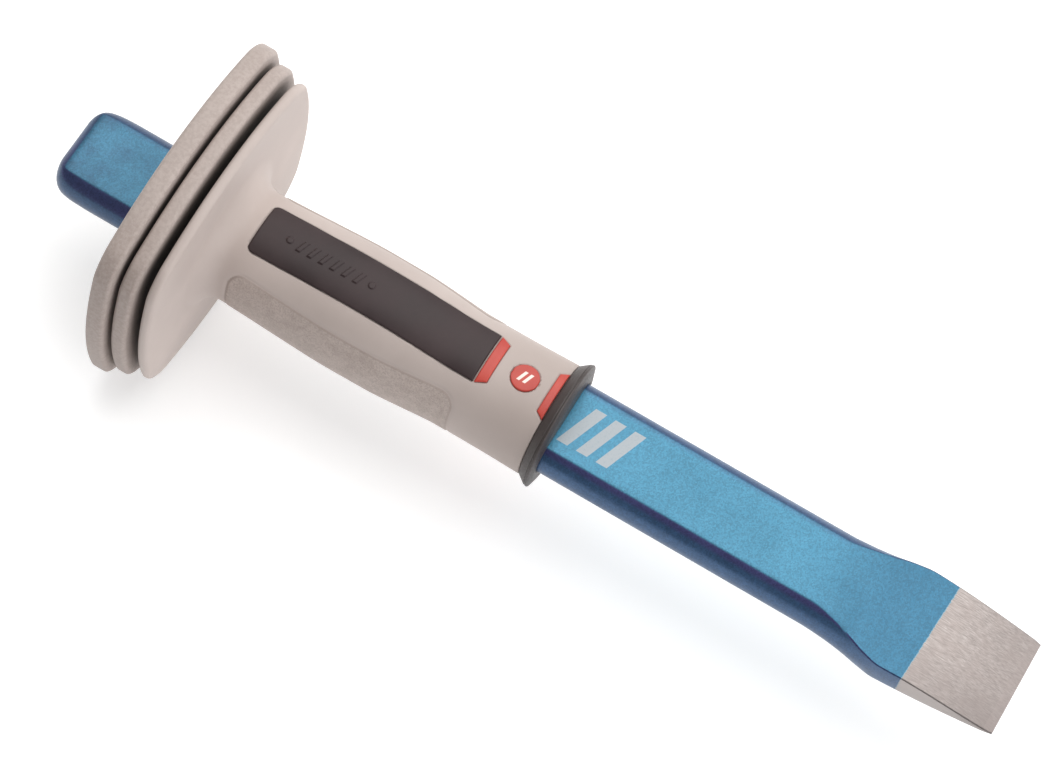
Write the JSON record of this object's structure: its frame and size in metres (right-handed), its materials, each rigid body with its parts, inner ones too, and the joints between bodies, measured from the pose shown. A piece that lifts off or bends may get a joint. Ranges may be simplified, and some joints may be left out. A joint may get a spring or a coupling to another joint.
{
  "type": "cold chisel",
  "caption": "Forged flat cold chisel with a flared, ground cutting edge and a slide-on hand grip with stacked guard flanges.",
  "frame": {"origin": "centre of the striking face", "axes": "+X along the bar from the striking face to the cutting edge, +Y across the width of the blade, +Z out of the front broad face"},
  "size_m": [0.3, 0.0936, 0.0824],
  "materials": {
    "bar_lacquer": "metallic blue lacquer over forged steel, satin gloss",
    "ground_steel": "bare steel, ground along the bar",
    "grey_elastomer": "warm light grey elastomer, matte, fine spark texture on the side panels",
    "pad_rubber": "dark grey-brown soft rubber, satin",
    "dark_polymer": "dark grey polymer, satin",
    "red_polymer": "red polymer inlay, satin"
  },
  "bodies": {
    "chisel": {"chisel_bar": "bar_lacquer"},
    "guard": {"core_sleeve": "dark_polymer", "grip_shell": "grey_elastomer", "end_collar": "dark_polymer", "front_pad": "pad_rubber", "back_pad": "pad_rubber", "front_pad_band": "red_polymer", "back_pad_band": "red_polymer", "front_marker": "red_polymer", "back_marker": "red_polymer", "front_collar_band": "red_polymer", "back_collar_band": "red_polymer"}
  },
  "joints": [
    {"name": "guard_slide", "type": "slide", "parent": "chisel", "child": "guard", "axis": [1, 0, 0], "range_m": [-0.16, 0.08]}
  ]
}
